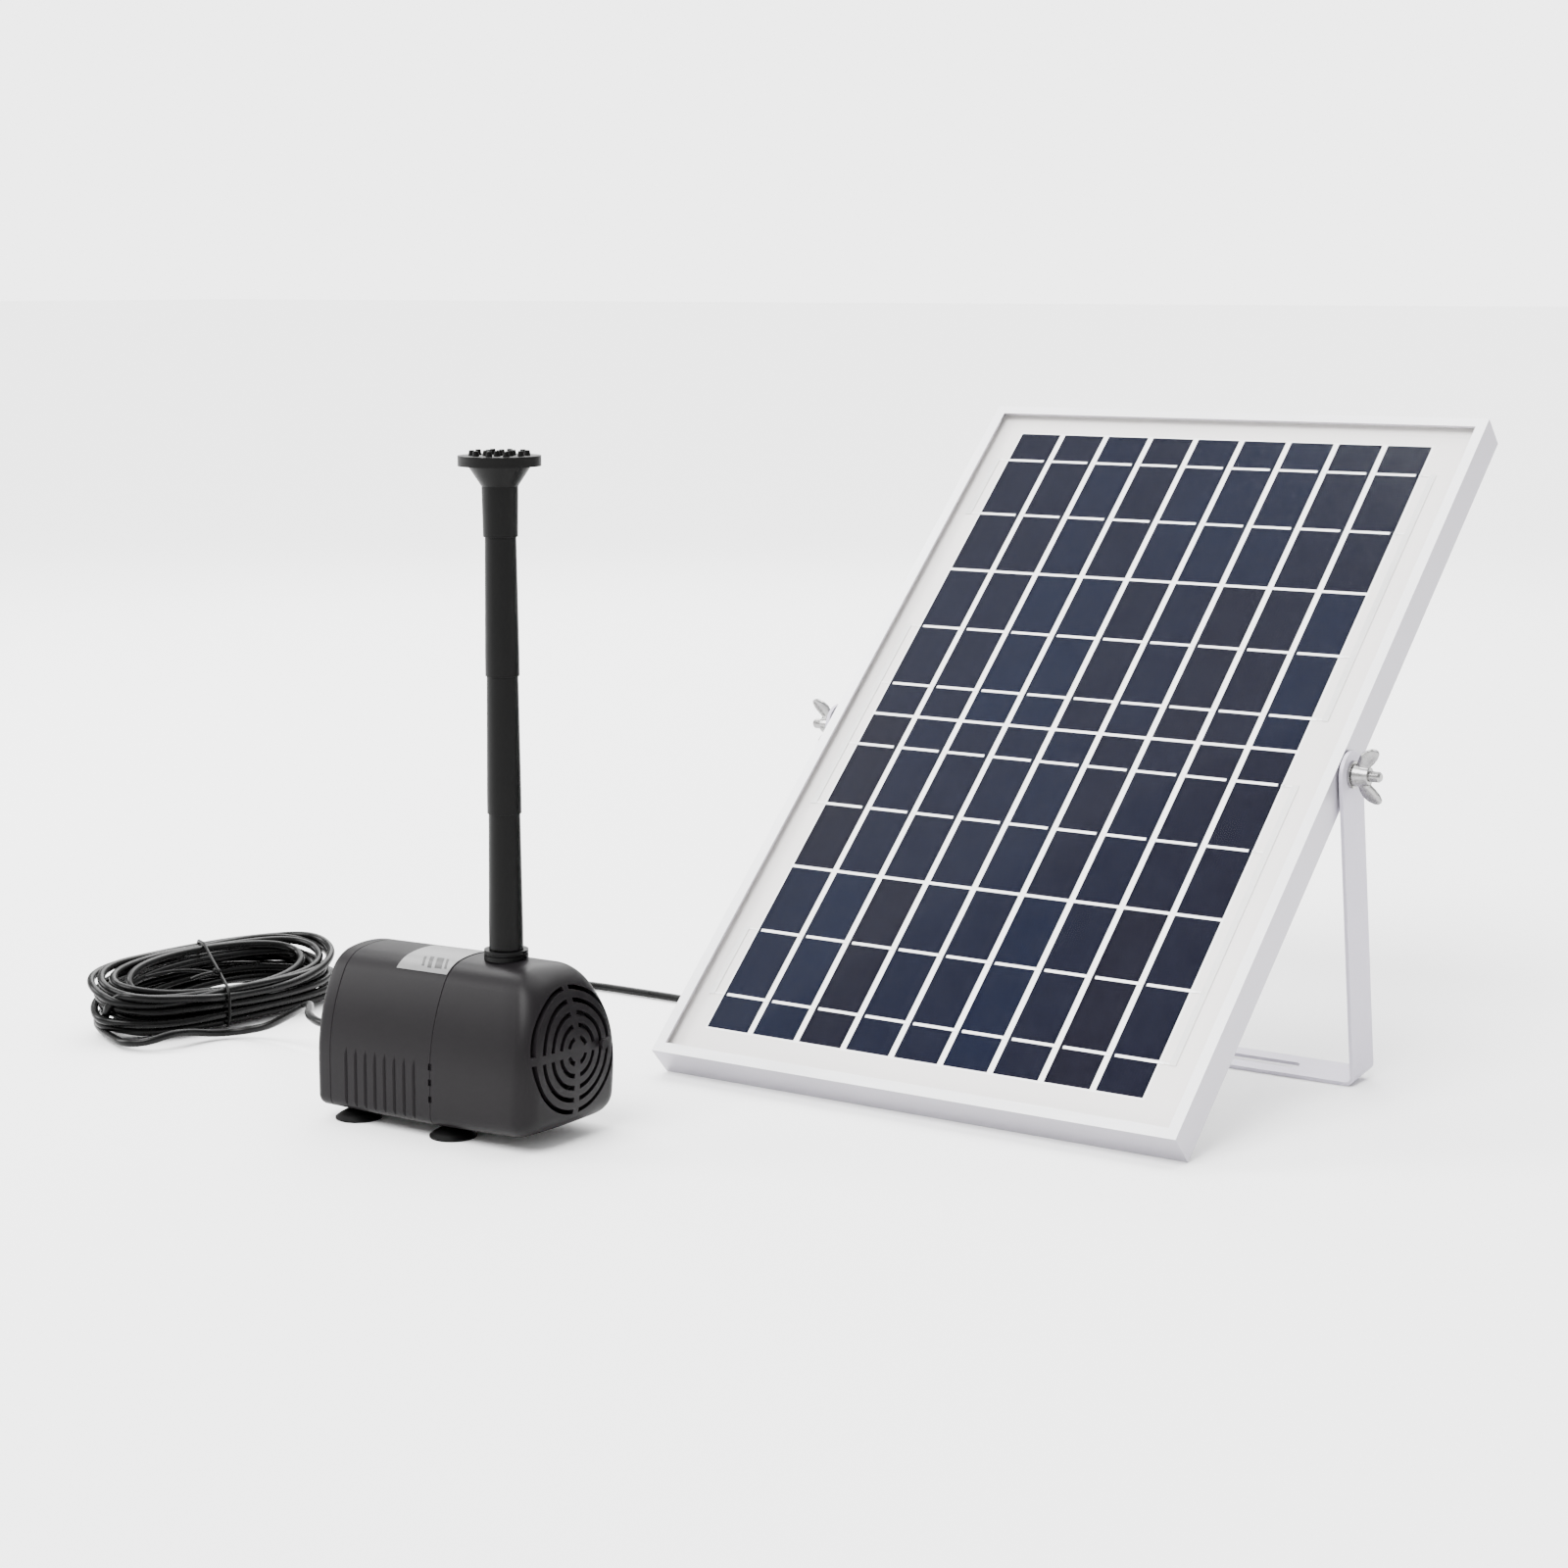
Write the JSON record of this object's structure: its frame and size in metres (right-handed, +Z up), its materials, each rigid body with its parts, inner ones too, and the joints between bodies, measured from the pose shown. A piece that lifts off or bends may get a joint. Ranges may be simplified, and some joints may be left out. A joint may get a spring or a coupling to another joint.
{
  "type": "solar fountain pump",
  "caption": "Submersible fountain pump with a stacked riser and spray head, wired to a framed solar panel on a folding bar stand.",
  "frame": {"origin": "on the standing surface, under the middle of the box around the panel, stand and pump, with the lead left out", "axes": "+X across the panel to the right seen from its front, +Y from the panel's front to its back, +Z up"},
  "size_m": [0.4813, 0.3792, 0.2464],
  "materials": {
    "frame_aluminium": "satin anodised",
    "panel_glass": "clear, lightly textured",
    "gasket": "matte silicone",
    "film": "clear encapsulant",
    "backsheet": "white satin sheet",
    "silicon_cell": "polycrystalline blue with fine fingers",
    "ribbon": "tinned",
    "black_plastic": "fine moulded texture",
    "zinc_steel": "bright zinc plate",
    "stand_paint": "light grey powder coat",
    "white_nylon": "smooth",
    "pump_plastic": "dark grey moulded ABS",
    "riser_plastic": "black moulded, faint sheen",
    "black_rubber": "soft moulded",
    "label_paper": "semi-gloss vinyl",
    "foam": "open-cell foam",
    "core_steel": "laminated",
    "copper_wire": "enamelled copper",
    "circuit_board": "solder mask",
    "ceramic": "ground",
    "magnet": "sintered ferrite",
    "cord_pvc": "satin PVC"
  },
  "bodies": {
    "panel_and_pump": {"frame_rail_left": "frame_aluminium", "frame_rail_right": "frame_aluminium", "frame_rail_top": "frame_aluminium", "frame_rail_bottom": "frame_aluminium", "corner_keys": "frame_aluminium", "glass": "panel_glass", "glass_gasket": "gasket", "encapsulant": "film", "backsheet": "backsheet", "cell_row_1": "silicon_cell", "cell_row_2": "silicon_cell", "cell_row_3": "silicon_cell", "cell_row_4": "silicon_cell", "busbar_ribbons": "ribbon", "string_connectors": "ribbon", "junction_box_base": "black_plastic", "junction_box_lid": "black_plastic", "junction_box_gland": "black_plastic", "terminal_block": "white_nylon", "blocking_diode": "black_plastic", "lid_screws": "zinc_steel", "pivot_bolts": "zinc_steel", "spacer_washers": "white_nylon", "bracket_washers": "zinc_steel", "rear_cap": "pump_plastic", "motor_housing": "pump_plastic", "front_cover": "pump_plastic", "suction_cups": "black_rubber", "rating_label": "label_paper", "housing_screws": "zinc_steel", "chamber_cover": "black_plastic", "chamber_seal": "black_rubber", "filter_foam": "foam", "stator_core": "core_steel", "stator_coils": "copper_wire", "control_board": "circuit_board", "rotor_shaft": "ceramic", "shaft_bushes": "ceramic", "outlet_adapter": "riser_plastic", "outlet_seal": "black_rubber", "pump_gland": "black_plastic", "pump_lead": "cord_pvc", "cord_hank": "cord_pvc", "panel_lead": "cord_pvc", "twist_tie": "black_plastic"},
    "stand": {"stand_bracket": "stand_paint"},
    "wing_nut_left_body": {"wing_nut_left": "zinc_steel"},
    "wing_nut_right_body": {"wing_nut_right": "zinc_steel"},
    "rotor": {"rotor_magnet": "magnet", "impeller": "white_nylon"},
    "adjuster": {"flow_adjuster": "pump_plastic"},
    "riser_1": {"riser_tube_1": "riser_plastic"},
    "riser_2": {"riser_tube_2": "riser_plastic"},
    "riser_3": {"riser_tube_3": "riser_plastic"},
    "spray_head": {"nozzle_body": "riser_plastic", "nozzle_plate": "riser_plastic"}
  },
  "joints": [
    {"name": "stand_swing", "type": "hinge", "parent": "panel_and_pump", "child": "stand", "pos_m": [0.02475, 0.05821, 0.12017], "axis": [1, 0, 0], "range_deg": [0, 117]},
    {"name": "wing_nut_left_spin", "type": "hinge", "parent": "panel_and_pump", "child": "wing_nut_left_body", "pos_m": [0.02475, 0.05821, 0.12017], "axis": [1, 0, 0], "continuous": true},
    {"name": "wing_nut_right_spin", "type": "hinge", "parent": "panel_and_pump", "child": "wing_nut_right_body", "pos_m": [0.02475, 0.05821, 0.12017], "axis": [1, 0, 0], "continuous": true},
    {"name": "impeller_spin", "type": "hinge", "parent": "panel_and_pump", "child": "rotor", "pos_m": [-0.09075, -0.16292, 0.031], "axis": [1, 0, 0], "continuous": true},
    {"name": "flow_adjuster_turn", "type": "hinge", "parent": "panel_and_pump", "child": "adjuster", "pos_m": [-0.05275, -0.16292, 0.0335], "axis": [1, 0, 0], "range_deg": [-35, 35]},
    {"name": "riser_1_pull", "type": "slide", "parent": "panel_and_pump", "child": "riser_1", "axis": [0, 0, 1], "range_m": [0, 0.012]},
    {"name": "riser_2_pull", "type": "slide", "parent": "riser_1", "child": "riser_2", "axis": [0, 0, 1], "range_m": [0, 0.012]},
    {"name": "riser_3_pull", "type": "slide", "parent": "riser_2", "child": "riser_3", "axis": [0, 0, 1], "range_m": [0, 0.012]},
    {"name": "spray_head_pull", "type": "slide", "parent": "riser_3", "child": "spray_head", "axis": [0, 0, 1], "range_m": [0, 0.012]}
  ]
}
